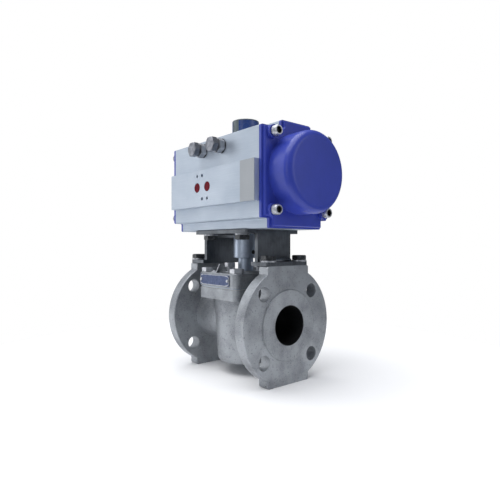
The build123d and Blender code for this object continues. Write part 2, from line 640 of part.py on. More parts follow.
def pinion_seals():
    low = Pos(0, 0, BASE_Z + 5) * Torus(20.8, 1.15)
    high = Pos(0, 0, 244) * Torus(12.8, 1.15)
    low_floor = LOW_JOURNAL_R - 1.9 + TOUCH
    high_floor = JOURNAL_R - 1.9 + TOUCH
    low = low + ring_z(low_floor, 20.8, (BASE_Z + 4.2, BASE_Z + 5.8))
    high = high + ring_z(high_floor, 12.8, (243.2, 244.8))
    return solids_of([low, high])


def circlip():
    """Snap ring that holds the pinion up against the thrust washer."""
    z = (HUMP_Z + 1.65, HUMP_Z + 2.85)
    ring = ring_z(JOURNAL_R - 1.2 + TOUCH, 14, z)
    lugs = rod_z(2.6, z, 15, 3.2) + rod_z(2.6, z, 15, -3.2)
    lugs -= rod_z(1.0, (z[0] - 1, z[1] + 1), 15.2, 3.2) + rod_z(1.0, (z[0] - 1, z[1] + 1), 15.2, -3.2)
    gap = block((5, 20), (-0.9, 0.9), (z[0] - 1, z[1] + 1))
    return ring + (lugs - rod_z(JOURNAL_R + 0.1, (z[0] - 1, z[1] + 1))) - gap


def stop_cam():
    """Cam with one face for each travel stop, keyed on the pinion by flats."""
    z = (CAM_Z[0] + TOUCH, CAM_Z[1] - TOUCH)
    sector = rod_z(CAM_R, z) & block((-CAM_FACE, 40), (-CAM_FACE, 40), z)
    cam = sector + rod_z(19, z)
    limit = block((-40, 40), (-CAM_FACE, 40), z) & block((-CAM_FACE, 40), (-40, 40), z)
    cam = cam & (limit + rod_z(16.5, z))
    bore = rod_z(14 + TOUCH, (z[0] - 1, z[1] + 1))
    return cam - (bore & block((-JOURNAL_R - TOUCH, JOURNAL_R + TOUCH), (-20, 20), (0, 300)))


INDICATOR_Z = (263.6, 281.6)
INDICATOR_R = 19.2


def indicator_body():
    """Drum of the position indicator, seated on the drive end."""
    drum = rod_z(INDICATOR_R - 0.9, INDICATOR_Z)
    drum += rod_z(INDICATOR_R, (INDICATOR_Z[1] - 1.6, INDICATOR_Z[1]))
    drum = fillet(drum.edges().sort_by(Axis.Z)[-1], 1.0)
    for y in (-1, 1):
        window = block((-6.2, 6.2), sorted((y * 14, y * 30)), (INDICATOR_Z[0], INDICATOR_Z[1] - 1))
        drum += (rod_z(INDICATOR_R, INDICATOR_Z) & window)
    drum -= rod_z(9 + TOUCH, (INDICATOR_Z[0] - 1, 275.3))
    drum -= rod_z(15, (INDICATOR_Z[0] - 1, 266.5))
    return drum - rod_z(M5_R + 0.3, (270, 290)) - rod_z(5.2, (279.2, 290))


def indicator_sectors():
    """Coloured bands on the drum's two sides."""
    z = (INDICATOR_Z[0], INDICATOR_Z[1] - 1.7)
    band = ring_z(INDICATOR_R - 0.9 + TOUCH, INDICATOR_R, z)
    return band - block((-6.3, 6.3), (-30, 30), (z[0] - 1, z[1] + 1))


def indicator_screw():
    head = rod_z(4.8, (279.2 + TOUCH, 281.4))
    head -= Pos(0, 0, 280) * extrude(RegularPolygon(1.5, 6, major_radius=False), 4)
    return head + rod_z(M5_R, (265, 279.3))


# ------------------------------------------------------------------- pistons
def rack_teeth():
    """Straight-sided teeth of the rack beside -Y, pitch line tangent to the pinion."""
    pitch = pi * GEAR_MODULE
    half = pitch / 4 - GEAR_BACKLASH / 4
    tip = half - GEAR_MODULE * tan(PRESSURE)
    root = half + 1.25 * GEAR_MODULE * tan(PRESSURE)
    tip_y = -PITCH_R + GEAR_MODULE
    root_y = -PITCH_R - 1.25 * GEAR_MODULE
    faces = []
    for index in range(-7, 2):
        x = pitch * (index + 0.5)
        outline = Polyline((x - root, root_y), (x - tip, tip_y), (x + tip, tip_y), (x + root, root_y),
                           (x + root, root_y - 1), (x - root, root_y - 1), close=True)
        faces.append(make_face(outline))
    z = (GEAR_Z[0] + 5, GEAR_Z[1] - 5)
    return [extrude(Pos(0, 0, z[0]) * face, z[1] - z[0]) for face in faces]


def piston():
    """Piston of the +X side: head, spring pockets and the rack arm on the -Y side."""
    x = (PISTON_IN_X, PISTON_IN_X + PISTON_HEAD_T)
    axis_z = BORE_AXIS_Z
    head = rod_x(PISTON_BORE_R - RUN, x, 0, axis_z)
    root_y = -PITCH_R - 1.25 * GEAR_MODULE
    arm_z = (GEAR_Z[0] + 5, GEAR_Z[1] - 5)
    arm = block((-PISTON_IN_X + 2, x[0] + 1), (-44, root_y), arm_z)
    arm = arm & rod_x(PISTON_BORE_R - 0.3, (-60, 60), 0, axis_z)
    shape = head + arm
    for tooth in rack_teeth():
        shape += tooth
    for y, dz in corners(SPRING_OFFSET, SPRING_OFFSET):
        shape -= rod_x(SPRING_R + 2.6, (x[1] - SPRING_POCKET, x[1] + 1), y, axis_z + dz)
    for low, depth, width in ((x[0] + 3.0, 2.2, 2.6), (x[0] + 9.0, 1.5, 3.6)):
        groove = rod_x(PISTON_BORE_R + 1, (low, low + width), 0, axis_z)
        shape -= groove - rod_x(PISTON_BORE_R - depth, (low - 1, low + width + 1), 0, axis_z)
    shape -= block((-32, 24), (-46, -41.5), (axis_z - 6, axis_z + 6))
    return shape


def piston_seal():
    ring_x = PISTON_IN_X + 3.0 + 1.3
    seal = Pos(ring_x, 0, BORE_AXIS_Z) * Rot(0, 90, 0) * Torus(PISTON_BORE_R - 1.1, 1.0)
    return seal


def piston_guides():
    """Acetal guide band on the head and slide pad behind the rack."""
    low = PISTON_IN_X + 9.0
    band = rod_x(PISTON_BORE_R - RUN / 2, (low + TOUCH, low + 3.6 - TOUCH), 0, BORE_AXIS_Z)
    band -= rod_x(PISTON_BORE_R - 1.5 + TOUCH, (low - 1, low + 5), 0, BORE_AXIS_Z)
    pad = block((-32 + TOUCH, 24 - TOUCH), (-50, -41.5 - TOUCH), (BORE_AXIS_Z - 5.9, BORE_AXIS_Z + 5.9))
    pad = pad & rod_x(PISTON_BORE_R - RUN, (-60, 60), 0, BORE_AXIS_Z)
    return solids_of([band, pad])


def springs(dome_x):
    """Four compression springs between a piston and its cap, at their closed-valve length."""
    start = PISTON_IN_X + PISTON_HEAD_T - SPRING_POCKET + SPRING_WIRE_R + 0.3
    end = dome_x - DOME_WALL - SPRING_WIRE_R - 0.3
    length = end - start
    path = Helix(length / SPRING_TURNS, length, SPRING_R)
    coil = sweep(Plane(origin=path @ 0, z_dir=path % 0) * Circle(SPRING_WIRE_R), path=path)
    coil = Pos(start, 0, BORE_AXIS_Z) * Rot(0, 90, 0) * coil
    return solids_of([Pos(0, y, dz) * coil for y, dz in corners(SPRING_OFFSET, SPRING_OFFSET)])


def to_left(shape):
    """The same piece turned half a turn about the stem axis."""
    return solids_of([Rot(0, 0, 180) * solid for solid in shape.solids()])


def left_cap(dome_x):
    return mirror(end_cap(dome_x), about=Plane.YZ)


NODES = {
    "valve_body": valve_body,
    "plug_sleeve": plug_sleeve,
    "plug_stem": plug_stem,
    "wedge_ring": wedge_ring,
    "ptfe_diaphragm": lambda: diaphragm(0),
    "metal_diaphragm": lambda: diaphragm(1),
    "thrust_collar": thrust_collar,
    "top_cap": top_cap,
    "top_cap_bolts": top_cap_bolts,
    "adjuster_screws": adjuster_screws,
    "name_tag": name_tag,
    "tag_rivets": tag_rivets,
    "earthing_tab": earthing_tab,
    "earthing_screw": earthing_screw,
    "bracket": bracket,
    "foot_washers": foot_washers,
    "foot_bolts": foot_bolts,
    "mount_washers": mount_washers,
    "mount_bolts": mount_bolts,
    "coupling": coupling,
    "coupling_setscrew": coupling_setscrew,
    "actuator_body": actuator_body,
    "port_plugs": port_plugs,
    "right_end_cap": lambda: end_cap(RIGHT_DOME_X),
    "left_end_cap": lambda: left_cap(LEFT_DOME_X),
    "right_cap_seal": cap_seal,
    "left_cap_seal": lambda: to_left(cap_seal()),
    "right_cap_screws": cap_screws,
    "left_cap_screws": lambda: to_left(cap_screws()),
    "stop_bolts": stop_bolts,
    "stop_jam_nuts": stop_jam_nuts,
    "stop_seals": stop_seals,
    "lower_bearing": lower_bearing,
    "upper_bearing": upper_bearing,
    "thrust_washer": thrust_washer,
    "pinion": pinion,
    "pinion_seals": pinion_seals,
    "circlip": circlip,
    "stop_cam": stop_cam,
    "indicator_body": indicator_body,
    "indicator_sectors": indicator_sectors,
    "indicator_screw": indicator_screw,
    "right_piston": piston,
    "left_piston": lambda: to_left(piston()),
    "right_piston_seal": piston_seal,
    "left_piston_seal": lambda: to_left(piston_seal()),
    "right_piston_guides": piston_guides,
    "left_piston_guides": lambda: to_left(piston_guides()),
    "right_springs": lambda: springs(RIGHT_DOME_X),
    "left_springs": lambda: to_left(springs(LEFT_DOME_X)),
}

os.makedirs("parts", exist_ok=True)
for node, make in NODES.items():
    placed = [Pos(FACE_TO_FACE / 2, 0, 0) * solid for solid in make().solids()]
    export_step(solids_of(placed), f"parts/{node}.step")
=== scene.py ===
import json
from math import cos, pi, radians, sin, tan

import bmesh
import bpy
from mathutils import Matrix, Vector

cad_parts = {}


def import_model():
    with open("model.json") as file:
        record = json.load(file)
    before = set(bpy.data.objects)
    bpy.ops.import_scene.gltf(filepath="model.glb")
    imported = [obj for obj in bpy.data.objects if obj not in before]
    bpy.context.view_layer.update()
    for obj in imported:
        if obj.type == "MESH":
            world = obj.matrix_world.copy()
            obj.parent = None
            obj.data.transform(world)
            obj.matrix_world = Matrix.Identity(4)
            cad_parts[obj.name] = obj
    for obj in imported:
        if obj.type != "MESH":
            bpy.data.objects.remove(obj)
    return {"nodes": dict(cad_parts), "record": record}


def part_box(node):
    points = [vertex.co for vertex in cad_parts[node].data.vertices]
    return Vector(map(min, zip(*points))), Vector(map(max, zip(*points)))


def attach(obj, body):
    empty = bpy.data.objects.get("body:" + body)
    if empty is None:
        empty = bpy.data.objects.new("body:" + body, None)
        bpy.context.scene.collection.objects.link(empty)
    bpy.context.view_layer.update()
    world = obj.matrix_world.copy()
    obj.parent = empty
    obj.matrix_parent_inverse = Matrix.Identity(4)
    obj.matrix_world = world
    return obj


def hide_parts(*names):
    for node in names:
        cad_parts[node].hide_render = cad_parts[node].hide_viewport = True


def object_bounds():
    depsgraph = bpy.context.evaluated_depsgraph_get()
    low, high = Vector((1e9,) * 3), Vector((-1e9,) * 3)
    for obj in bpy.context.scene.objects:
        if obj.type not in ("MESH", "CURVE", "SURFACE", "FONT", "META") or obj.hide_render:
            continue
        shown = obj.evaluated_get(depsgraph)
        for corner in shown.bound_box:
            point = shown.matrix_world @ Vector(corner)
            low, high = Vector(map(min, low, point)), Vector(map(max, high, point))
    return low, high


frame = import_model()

CAD_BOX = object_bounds()
NODES = frame["nodes"]
MM = 0.001

LOW, HIGH = Vector(CAD_BOX[0]), Vector(CAD_BOX[1])
HEIGHT = HIGH.z - LOW.z
STEM = (Vector(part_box("plug_stem")[0]) + Vector(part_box("plug_stem")[1])) / 2

# The camera stands level with the middle of the object, to the outlet side of the air ports.
VIEW_AZIMUTH = radians(50.0)
VIEW_DISTANCE = 1.80 * HEIGHT
VIEW_ASIDE = 0.0074 * HEIGHT
LENS = 32.11
SHIFT = (0.0050, -0.0079)

# Sizes that the boxes of the CAD nodes don't give.
BORE_R = 25.5 * MM
BRACKET_LEG_X = 60.6 * MM
FOOT_PLATE_TOP = 5.0 * MM
WELD_HALF_LENGTH = 28.2 * MM
WELD_LEG = 4.15
WELD_RIPPLE = 2.2 * MM
M10_ACROSS = 17 * MM
M10_HEAD = 6.4 * MM
M8_SCREW_HEAD = 8.0 * MM
M8_SOCKET = 7 * MM
STOP_HEAD = 8.0 * MM
STOP_ACROSS = 18 * MM
STOP_DOG = 13 * MM
SOCKET_FROM = 6                 # the first ring inside a socket head, where the near-black painted shade of the recess starts


# ------------------------------------------------------------------ materials
class Look:
    """A Principled material whose colour, roughness and relief come from noise in object space."""

    def __init__(self, name, colour, roughness, metallic=0.0):
        self.material = bpy.data.materials.new(name)
        self.material.use_nodes = True
        self.nodes = self.material.node_tree.nodes
        self.links = self.material.node_tree.links
        self.shader = self.nodes["Principled BSDF"]
        self.shader.inputs["Metallic"].default_value = metallic
        self.shader.inputs["Roughness"].default_value = roughness
        self.shader.inputs["Base Color"].default_value = (*colour, 1.0)
        self.colour = None
        self.start = colour
        self.normal = None
        self.coordinates = self.nodes.new("ShaderNodeTexCoord").outputs["Object"]

    def noise(self, size, detail=4.0, stretch=(1, 1, 1), rough=0.55):
        """Noise with features of about that size in metres, longer along an axis with a larger stretch."""
        mapping = self.nodes.new("ShaderNodeMapping")
        mapping.inputs["Scale"].default_value = [1 / (size * s) for s in stretch]
        texture = self.nodes.new("ShaderNodeTexNoise")
        texture.inputs["Scale"].default_value = 1.0
        texture.inputs["Detail"].default_value = detail
        texture.inputs["Roughness"].default_value = rough
        self.links.new(self.coordinates, mapping.inputs["Vector"])
        self.links.new(mapping.outputs["Vector"], texture.inputs["Vector"])
        return texture.outputs["Fac"]

    def along(self, axis):
        """The position along one axis, in metres."""
        node = self.nodes.new("ShaderNodeSeparateXYZ")
        self.links.new(self.coordinates, node.inputs["Vector"])
        return node.outputs[axis]

    def pipe_radius(self):
        """The distance from the pipe's axis, in metres."""
        flat = self.nodes.new("ShaderNodeVectorMath")
        flat.operation = "MULTIPLY"
        flat.inputs[1].default_value = (0, 1, 1)
        length = self.nodes.new("ShaderNodeVectorMath")
        length.operation = "LENGTH"
        self.links.new(self.coordinates, flat.inputs[0])
        self.links.new(flat.outputs["Vector"], length.inputs[0])
        return length.outputs["Value"]

    def times(self, first, second):
        node = self.nodes.new("ShaderNodeMath")
        node.operation = "MULTIPLY"
        self.links.new(first, node.inputs[0])
        self.links.new(second, node.inputs[1])
        return node.outputs["Value"]

    def grooves(self, radius, pitch):
        """Fine turned grooves, one every pitch of the given radius."""
        turns = self.nodes.new("ShaderNodeMath")
        turns.operation = "MULTIPLY"
        turns.inputs[1].default_value = 2 * pi / pitch
        wave = self.nodes.new("ShaderNodeMath")
        wave.operation = "SINE"
        self.links.new(radius, turns.inputs[0])
        self.links.new(turns.outputs["Value"], wave.inputs[0])
        return wave.outputs["Value"]

    def cells(self, size):
        mapping = self.nodes.new("ShaderNodeMapping")
        mapping.inputs["Scale"].default_value = [1 / size] * 3
        texture = self.nodes.new("ShaderNodeTexVoronoi")
        texture.inputs["Scale"].default_value = 1.0
        self.links.new(self.coordinates, mapping.inputs["Vector"])
        self.links.new(mapping.outputs["Vector"], texture.inputs["Vector"])
        return texture.outputs["Distance"]

    def spread(self, value, low_in, high_in, low_out=0.0, high_out=1.0):
        node = self.nodes.new("ShaderNodeMapRange")
        for socket, number in zip(("From Min", "From Max", "To Min", "To Max"),
                                  (low_in, high_in, low_out, high_out)):
            node.inputs[socket].default_value = number
        self.links.new(value, node.inputs["Value"])
        return node.outputs["Result"]

    def tint(self, factor, colour, amount):
        """Mixes another colour in where the factor is high."""
        scaled = self.spread(factor, 0.0, 1.0, 0.0, amount)
        node = self.nodes.new("ShaderNodeMix")
        node.data_type = "RGBA"
        node.inputs["A"].default_value = (*self.start, 1.0)
        node.inputs["B"].default_value = (*colour, 1.0)
        self.links.new(scaled, node.inputs["Factor"])
        if self.colour is not None:
            self.links.new(self.colour, node.inputs["A"])
        self.colour = node.outputs["Result"]
        self.links.new(self.colour, self.shader.inputs["Base Color"])
        return self

    def roughen(self, factor, low, high):
        self.links.new(self.spread(factor, 0.3, 0.7, low, high), self.shader.inputs["Roughness"])
        return self

    def soften(self, radius):
        """Rounds the look of sharp edges, as casting, tumbling or paint does."""
        node = self.nodes.new("ShaderNodeBevel")
        node.samples = 6
        node.inputs["Radius"].default_value = radius
        self.normal = node.outputs["Normal"]
        self.links.new(self.normal, self.shader.inputs["Normal"])
        return self

    def relief(self, factor, depth, strength=1.0):
        node = self.nodes.new("ShaderNodeBump")
        node.inputs["Distance"].default_value = depth
        node.inputs["Strength"].default_value = strength
        self.links.new(factor, node.inputs["Height"])
        if self.normal is not None:
            self.links.new(self.normal, node.inputs["Normal"])
        self.normal = node.outputs["Normal"]
        self.links.new(self.normal, self.shader.inputs["Normal"])
        return self


def cast_steel():
    """Blasted stainless casting: grain, soft hollows, stains, turned flange faces, and painted shade that
    turns the bore near black.
    """
    look = Look("cast_steel", (0.36, 0.38, 0.405), 0.46, 0.72).soften(1.2 * MM)
    stain = look.noise(30 * MM, 5)
    grain = look.noise(0.9 * MM, 3)
    look.tint(look.spread(stain, 0.42, 0.66), (0.17, 0.18, 0.20), 0.75)
    look.tint(look.spread(grain, 0.45, 0.70), (0.50, 0.52, 0.55), 0.45)
    look.tint(look.spread(look.noise(2.5 * MM, 2), 0.60, 0.72), (0.08, 0.08, 0.09), 0.5)
    radius = look.pipe_radius()
    low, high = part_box("valve_body")
    inlet = look.spread(look.along("X"), low.x + 1.4 * MM, low.x + 1.2 * MM)
    outlet = look.spread(look.along("X"), high.x - 1.4 * MM, high.x - 1.2 * MM)
    # Painted shade: everything within the bore's radius of the pipe axis is turned near black, so the bore
    # reads as a dark hollow; the real bore is bare steel.
    look.tint(look.spread(radius, BORE_R + 0.8 * MM, BORE_R + 0.4 * MM), (0.012, 0.012, 0.014), 0.97)
    look.roughen(stain, 0.40, 0.58)
    look.relief(look.noise(6 * MM, 3), 0.45 * MM, 0.6)
    look.relief(grain, 0.22 * MM, 0.8)
    look.relief(look.cells(1.3 * MM), 0.10 * MM, 0.5)
    serration = look.grooves(radius, 1.1 * MM)
    look.relief(look.times(serration, inlet), 0.09 * MM, 0.8)
    return look.relief(look.times(serration, outlet), 0.09 * MM, 0.8)


def machined_steel():
    """Turned stainless steel, satin, with fine rings about the stem; painted shade turns it near black below
    the top of the plug's sleeve, where the plug sits in the flow.
    """
    look = Look("machined_steel", (0.50, 0.57, 0.68), 0.38, 0.75).soften(0.5 * MM)
    rings = look.noise(0.5 * MM, 2, (40, 40, 1))
    smear = look.noise(14 * MM, 4)
    look.tint(look.spread(smear, 0.45, 0.7), (0.28, 0.33, 0.42), 0.5)
    look.tint(look.spread(rings, 0.5, 0.75), (0.54, 0.60, 0.68), 0.30)
    # Painted shade: everything below just above the plug's sleeve is turned near black, so the plug reads
    # dark inside the bore; the real plug is bare steel.
    plug_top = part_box("plug_sleeve")[1].z + 2 * MM
    look.tint(look.spread(look.along("Z"), plug_top, plug_top - 1 * MM), (0.010, 0.010, 0.012), 0.97)
    look.roughen(smear, 0.36, 0.50)
    return look.relief(rings, 0.03 * MM, 0.5)


def plate_steel():
    """Rolled stainless plate, brushed up and down, with handling marks."""
    look = Look("plate_steel", (0.12, 0.13, 0.145), 0.34, 0.9).soften(0.7 * MM)
    brushed = look.noise(0.5 * MM, 3, (1, 1, 60))
    mark = look.noise(20 * MM, 5)
    look.tint(look.spread(mark, 0.42, 0.68), (0.05, 0.055, 0.062), 0.7)
    look.tint(look.spread(brushed, 0.5, 0.75), (0.27, 0.29, 0.32), 0.35)
    look.roughen(mark, 0.30, 0.46)
    look.relief(brushed, 0.05 * MM, 0.7)
    return look.relief(look.noise(1.2 * MM, 3), 0.04 * MM, 0.4)


def plated(name, colour, shade):
    """Zinc-plated or stainless fastener: smeared satin with small dark specks."""
    look = Look(name, colour, 0.34, 0.9).soften(0.35 * MM)
    smear = look.noise(5 * MM, 4)
    look.tint(look.spread(smear, 0.45, 0.70), shade, 0.6)
    look.tint(look.spread(look.noise(0.6 * MM, 2), 0.58, 0.75), (0.20, 0.20, 0.22), 0.35)
    look.roughen(smear, 0.30, 0.46)
    return look.relief(look.noise(0.5 * MM, 2), 0.02 * MM, 0.4)


def dark_fastener():
    look = Look("dark_fastener", (0.055, 0.058, 0.062), 0.34, 0.85).soften(0.35 * MM)
    worn = look.noise(4 * MM, 4)
    look.tint(look.spread(worn, 0.52, 0.72), (0.22, 0.22, 0.23), 0.55)
    look.roughen(worn, 0.26, 0.48)
    return look.relief(look.noise(0.6 * MM, 3), 0.04 * MM, 0.6)


def anodised_aluminium():
    """Clear anodised extrusion: satin, drawn lines along the housing, a little handling grey."""
    look = Look("anodised_aluminium", (0.46, 0.52, 0.60), 0.46, 0.50).soften(0.8 * MM)
    drawn = look.noise(0.45 * MM, 3, (90, 1, 1))
    cloud = look.noise(45 * MM, 4)
    speck = look.noise(0.8 * MM, 2)
    look.tint(look.spread(cloud, 0.40, 0.68), (0.40, 0.47, 0.56), 0.55)
    look.tint(look.spread(drawn, 0.5, 0.75), (0.66, 0.71, 0.78), 0.35)
    look.tint(look.spread(speck, 0.62, 0.75), (0.30, 0.34, 0.40), 0.35)
    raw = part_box("actuator_body")[0].y + 0.4 * MM
    look.tint(look.spread(look.along("Y"), raw, raw - 0.1 * MM), (0.33, 0.34, 0.35), 0.8)
    look.roughen(cloud, 0.36, 0.48)
    look.relief(drawn, 0.03 * MM, 0.5)
    return look.relief(look.noise(0.35 * MM, 2), 0.03 * MM, 0.5)


def blue_paint():
    """Semi-gloss powder coat with orange peel over a die casting."""
    look = Look("blue_paint", (0.040, 0.064, 0.41), 0.38).soften(1.2 * MM)
    look.shader.inputs["Specular IOR Level"].default_value = 0.22
    look.shader.inputs["Coat Weight"].default_value = 0.35
    look.shader.inputs["Coat Roughness"].default_value = 0.26
    shade = look.noise(38 * MM, 3)
    look.tint(look.spread(shade, 0.38, 0.70), (0.045, 0.070, 0.50), 0.6)
    look.tint(look.spread(look.noise(1.4 * MM, 2), 0.62, 0.78), (0.020, 0.030, 0.20), 0.4)
    look.roughen(shade, 0.28, 0.42)
    look.relief(look.noise(2.2 * MM, 2), 0.10 * MM, 0.45)
    return look.relief(look.noise(0.6 * MM, 2), 0.03 * MM, 0.35)


def tag_blue():
    look = Look("tag_blue", (0.035, 0.055, 0.135), 0.30, 0.4).soften(0.3 * MM)
    wear = look.noise(7 * MM, 5)
    look.tint(look.spread(wear, 0.50, 0.72), (0.12, 0.16, 0.28), 0.6)
    look.tint(look.spread(look.noise(0.9 * MM, 3), 0.60, 0.74), (0.34, 0.38, 0.46), 0.4)
    look.roughen(wear, 0.24, 0.44)
    return look.relief(look.noise(0.8 * MM, 2), 0.03 * MM, 0.5)


def moulded(name, colour, other, roughness, gloss=0.5):
    """Moulded plastic: faint flow clouds and a fine spark-eroded grain."""
    look = Look(name, colour, roughness).soften(0.4 * MM)
    look.shader.inputs["Specular IOR Level"].default_value = gloss
    cloud = look.noise(9 * MM, 3)
    look.tint(look.spread(cloud, 0.42, 0.68), other, 0.6)
    look.roughen(cloud, roughness - 0.05, roughness + 0.09)
    look.relief(look.noise(0.5 * MM, 3), 0.04 * MM, 0.5)
    return look.relief(look.cells(0.9 * MM), 0.02 * MM, 0.4)


def rubber():
    look = Look("black_rubber", (0.018, 0.018, 0.019), 0.62)
    bloom = look.noise(3 * MM, 4)
    look.tint(look.spread(bloom, 0.50, 0.75), (0.055, 0.055, 0.058), 0.6)
    look.roughen(bloom, 0.55, 0.74)
    return look.relief(look.noise(0.5 * MM, 2), 0.04 * MM, 0.5)


def piston_aluminium():
    look = Look("piston_aluminium", (0.58, 0.59, 0.61), 0.34, 1.0).soften(0.6 * MM)
    cloud = look.noise(16 * MM, 4)
    turned = look.noise(0.4 * MM, 2, (1, 30, 30))
    look.tint(look.spread(cloud, 0.45, 0.70), (0.38, 0.39, 0.41), 0.5)
    look.roughen(cloud, 0.28, 0.44)
    return look.relief(turned, 0.04 * MM, 0.6)


def spring_steel():
    look = Look("spring_steel", (0.030, 0.031, 0.034), 0.38, 0.2)
    rub = look.noise(4 * MM, 4)
    look.tint(look.spread(rub, 0.55, 0.75), (0.14, 0.14, 0.15), 0.5)
    look.roughen(rub, 0.30, 0.50)
    return look.relief(look.noise(0.7 * MM, 2), 0.04 * MM, 0.5)


LOOKS = {
    "cast_steel": cast_steel(),
    "machined_steel": machined_steel(),
    "plate_steel": plate_steel(),
    "bright_fastener": plated("bright_fastener", (0.54, 0.55, 0.58), (0.28, 0.30, 0.33)),
    "cap_screw": plated("cap_screw", (0.60, 0.61, 0.64), (0.36, 0.38, 0.42)),
    "stop_bolt": plated("stop_bolt", (0.24, 0.25, 0.28), (0.08, 0.09, 0.11)),
    "dark_fastener": dark_fastener(),
    "anodised_aluminium": anodised_aluminium(),
    "blue_paint": blue_paint(),
    "tag_blue": tag_blue(),
    "ptfe": moulded("ptfe", (0.80, 0.80, 0.77), (0.70, 0.70, 0.66), 0.42),
    "acetal": moulded("acetal", (0.74, 0.71, 0.62), (0.64, 0.61, 0.52), 0.38),
    "black_rubber": rubber(),
    "red_plastic": moulded("red_plastic", (0.16, 0.004, 0.014), (0.08, 0.002, 0.008), 0.50, 0.10),
    "grey_plastic": moulded("grey_plastic", (0.13, 0.16, 0.17), (0.08, 0.10, 0.11), 0.40),
    "blue_plastic": moulded("blue_plastic", (0.035, 0.075, 0.26), (0.02, 0.045, 0.17), 0.28),
    "piston_aluminium": piston_aluminium(),
    "spring_steel": spring_steel(),
}


def dress_frame():
    """Gives every CAD node the finished material of its slot."""
    slots = {part["node"]: part["material_slot"] for part in frame["record"]["subparts"]}
    for node, piece in NODES.items():
        piece.data.materials.clear()
        piece.data.materials.append(LOOKS[slots[node]].material)


# ---------------------------------------------------------------- mesh pieces
def boxes_by_side(node, axes):
    """The box of each solid of a group, told apart by its side of the group's middle on those axes."""
    low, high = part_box(node)
    middle = (low + high) / 2
    sides = {}
    for vertex in NODES[node].data.vertices:
        key = tuple(vertex.co[axis] > middle[axis] for axis in axes)
        sides.setdefault(key, []).append(vertex.co)
    boxes = []
    for points in sides.values():
        low = Vector(min(p[i] for p in points) for i in range(3))
        high = Vector(max(p[i] for p in points) for i in range(3))
        boxes.append((low, high))
    return boxes


def turned(mesh, place, rings, steps, dark_from=None):
    """Adds a closed skin of rings about the Z axis of place. A ring gives radius and height at an angle.
    Faces from the ring dark_from onwards take the piece's second material, near black, which paints the shade
    inside a socket."""
    rows = []
    for ring in rings:
        row = []
        for index in range(steps):
            angle = 2 * pi * index / steps
            radius, height = ring(angle)
            row.append(mesh.verts.new(place @ Vector((radius * cos(angle), radius * sin(angle), height))))
        rows.append(row)
    for level, (row, following) in enumerate(zip(rows, rows[1:])):
        for index in range(steps):
            after = (index + 1) % steps
            face = mesh.faces.new((row[index], row[after], following[after], following[index]))
            face.material_index = int(dark_from is not None and level >= dark_from)
    mesh.faces.new(list(reversed(rows[0])))
    mesh.faces.new(rows[-1]).material_index = int(dark_from is not None)


def circle(radius, height):
    return lambda angle: (radius, height)


def hexagon(across, height):
    """A hexagon ring with its corners on the X axis."""
    return lambda angle: (across / 2 / cos((angle % (pi / 3)) - pi / 6), height)


def chamfered(across, top, edge):
    """The ring where a hexagon's flats meet the cone that trims its corners."""

    def ring(angle):
        reach = across / 2 / cos((angle % (pi / 3)) - pi / 6)
        return reach, top - edge * (reach - 0.96 * across / 2) * tan(radians(30))

    return ring


def hex_head(across, height):
    """Rings of a hex head from its washer face up to its trimmed top."""
    return [
        circle(0.95 * across / 2, 0.0),
        circle(0.95 * across / 2, 0.05 * height),
        hexagon(across, 0.05 * height),
        chamfered(across, height, 1.0),
        circle(0.96 * across / 2, height),
        circle(0.80 * across / 2, height - 0.02 * height),
        circle(0.20 * across / 2, height - 0.03 * height),
    ]


def thread(radius, pitch, low, high):
    """Rings of a screw thread between two heights."""
    per_turn = 6
    count = int((high - low) / pitch * per_turn)
    rings = []
    for index in range(count + 1):
        height = low + (high - low) * index / count

        def ring(angle, height=height):
            phase = (height / pitch - angle / (2 * pi)) % 1.0
            return radius - 0.6 * pitch * abs(2 * phase - 1), height

        rings.append(ring)
    return rings


def knurled_head(radius, height, socket):
    """Rings of a socket head: knurled side, rounded rim and a hexagon socket."""
    ridges = 32

    def side(at):
        return lambda angle: (radius * (1 - 0.02 * abs(sin(ridges * angle / 2))), at)

    return [
        circle(0.93 * radius, 0.0),
        side(0.06 * height),
        side(0.80 * height),
        circle(0.95 * radius, 0.86 * height),
        circle(0.90 * radius, 0.97 * height),
        circle(0.86 * radius, height),
        circle(0.66 * radius, height),
        hexagon(socket, 0.94 * height),
        hexagon(socket, 0.42 * height),
        circle(0.12 * socket, 0.32 * height),
    ]


def finished(mesh, name, slot, body, crease=32, look=None):
    """Turns a bmesh into a piece with smooth faces, split where the surface turns sharply."""
    bmesh.ops.recalc_face_normals(mesh, faces=mesh.faces)
    data = bpy.data.meshes.new(name)
    mesh.to_mesh(data)
    mesh.free()
    data.shade_smooth()
    data.set_sharp_from_angle(angle=radians(crease))
    data.materials.append(LOOKS[look or slot].material)
    # The second slot is near black; socket heads use it as painted shade inside their sockets.
    data.materials.append(LOOKS["dark_fastener"].material)
    piece = bpy.data.objects.new(name, data)
    bpy.context.scene.collection.objects.link(piece)
    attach(piece, body)
    return piece


def upright(at, way):
    """A frame at a point whose Z axis points the given way."""
    return Matrix.Translation(at) @ Vector(way).to_track_quat("Z", "Y").to_matrix().to_4x4()


def hex_bolts(node, slot, across, head, way):
    """Four vertical hex bolts with trimmed heads and threaded shanks."""
    mesh = bmesh.new()
    for low, high in boxes_by_side(node, (0, 1)):
        seat = high.z - head if way > 0 else low.z + head
        end = (seat - low.z) if way > 0 else (high.z - seat)
        at = Vector(((low.x + high.x) / 2, (low.y + high.y) / 2, seat))
        place = upright(at, (0, 0, way))
        turned(mesh, place, hex_head(across, head), 48)
        turned(mesh, place, thread(5 * MM, 1.5 * MM, -end, 0.0), 24)
    piece = finished(mesh, f"{node}_detailed", slot, "valve_and_housing")
    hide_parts(node)
    return piece


